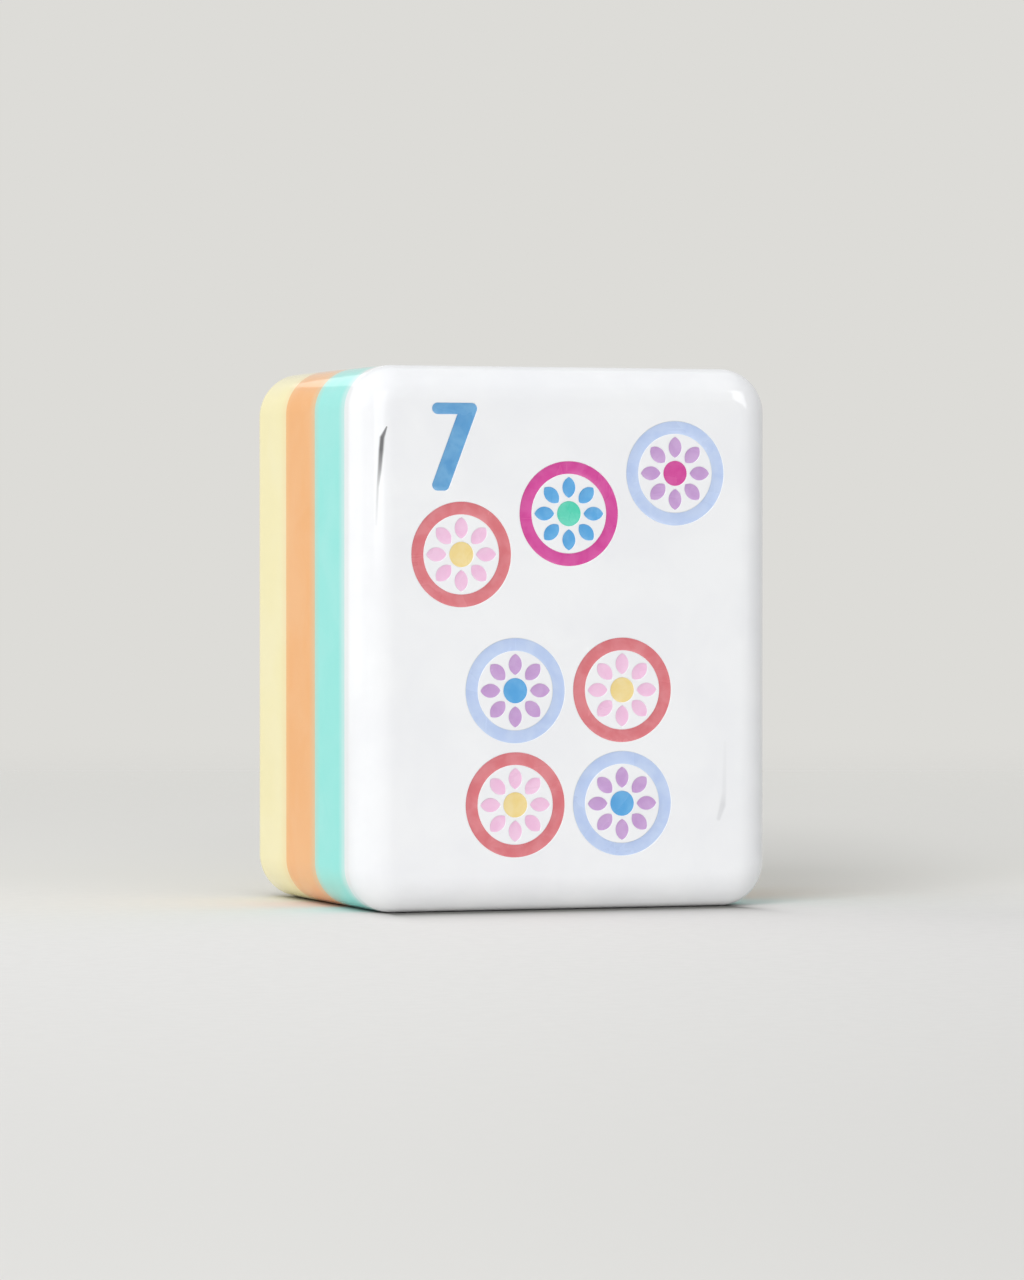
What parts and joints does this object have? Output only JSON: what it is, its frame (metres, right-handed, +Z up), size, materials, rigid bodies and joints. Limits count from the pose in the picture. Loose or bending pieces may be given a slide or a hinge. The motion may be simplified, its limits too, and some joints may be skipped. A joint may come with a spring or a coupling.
{
  "type": "mahjong tile",
  "caption": "Upright rounded mahjong tile: a white engraved face with an index numeral and enamelled dots, bonded to mint, orange and yellow resin layers.",
  "frame": {"origin": "centre of the base, where the tile stands on its short end", "axes": "+Z up along the tile's height, +X to the right of the face, +Y from the face towards the back"},
  "size_m": [0.0242, 0.02, 0.03],
  "materials": {
    "white_resin": "polished white cast resin",
    "mint_resin": "polished mint cast resin",
    "orange_resin": "polished orange cast resin",
    "yellow_resin": "polished pale yellow cast resin",
    "blue_enamel": "blue enamel fill",
    "coral_enamel": "coral enamel fill",
    "pink_enamel": "pink enamel fill",
    "yellow_enamel": "warm yellow enamel fill",
    "magenta_enamel": "magenta enamel fill",
    "sky_enamel": "sky blue enamel fill",
    "green_enamel": "mint green enamel fill",
    "lavender_enamel": "lavender enamel fill",
    "periwinkle_enamel": "pale periwinkle enamel fill"
  },
  "bodies": {
    "root": {"yellow_back": "yellow_resin", "orange_layer": "orange_resin", "mint_layer": "mint_resin", "face_block": "white_resin", "numeral": "blue_enamel", "slant_low_rim": "coral_enamel", "slant_low_petals": "pink_enamel", "slant_low_pip": "yellow_enamel", "slant_mid_rim": "magenta_enamel", "slant_mid_petals": "sky_enamel", "slant_mid_pip": "green_enamel", "slant_high_rim": "periwinkle_enamel", "slant_high_petals": "lavender_enamel", "slant_high_pip": "magenta_enamel", "square_upper_left_rim": "periwinkle_enamel", "square_upper_left_petals": "lavender_enamel", "square_upper_left_pip": "sky_enamel", "square_upper_right_rim": "coral_enamel", "square_upper_right_petals": "pink_enamel", "square_upper_right_pip": "yellow_enamel", "square_lower_left_rim": "coral_enamel", "square_lower_left_petals": "pink_enamel", "square_lower_left_pip": "yellow_enamel", "square_lower_right_rim": "periwinkle_enamel", "square_lower_right_petals": "lavender_enamel", "square_lower_right_pip": "sky_enamel"}
  },
  "joints": []
}
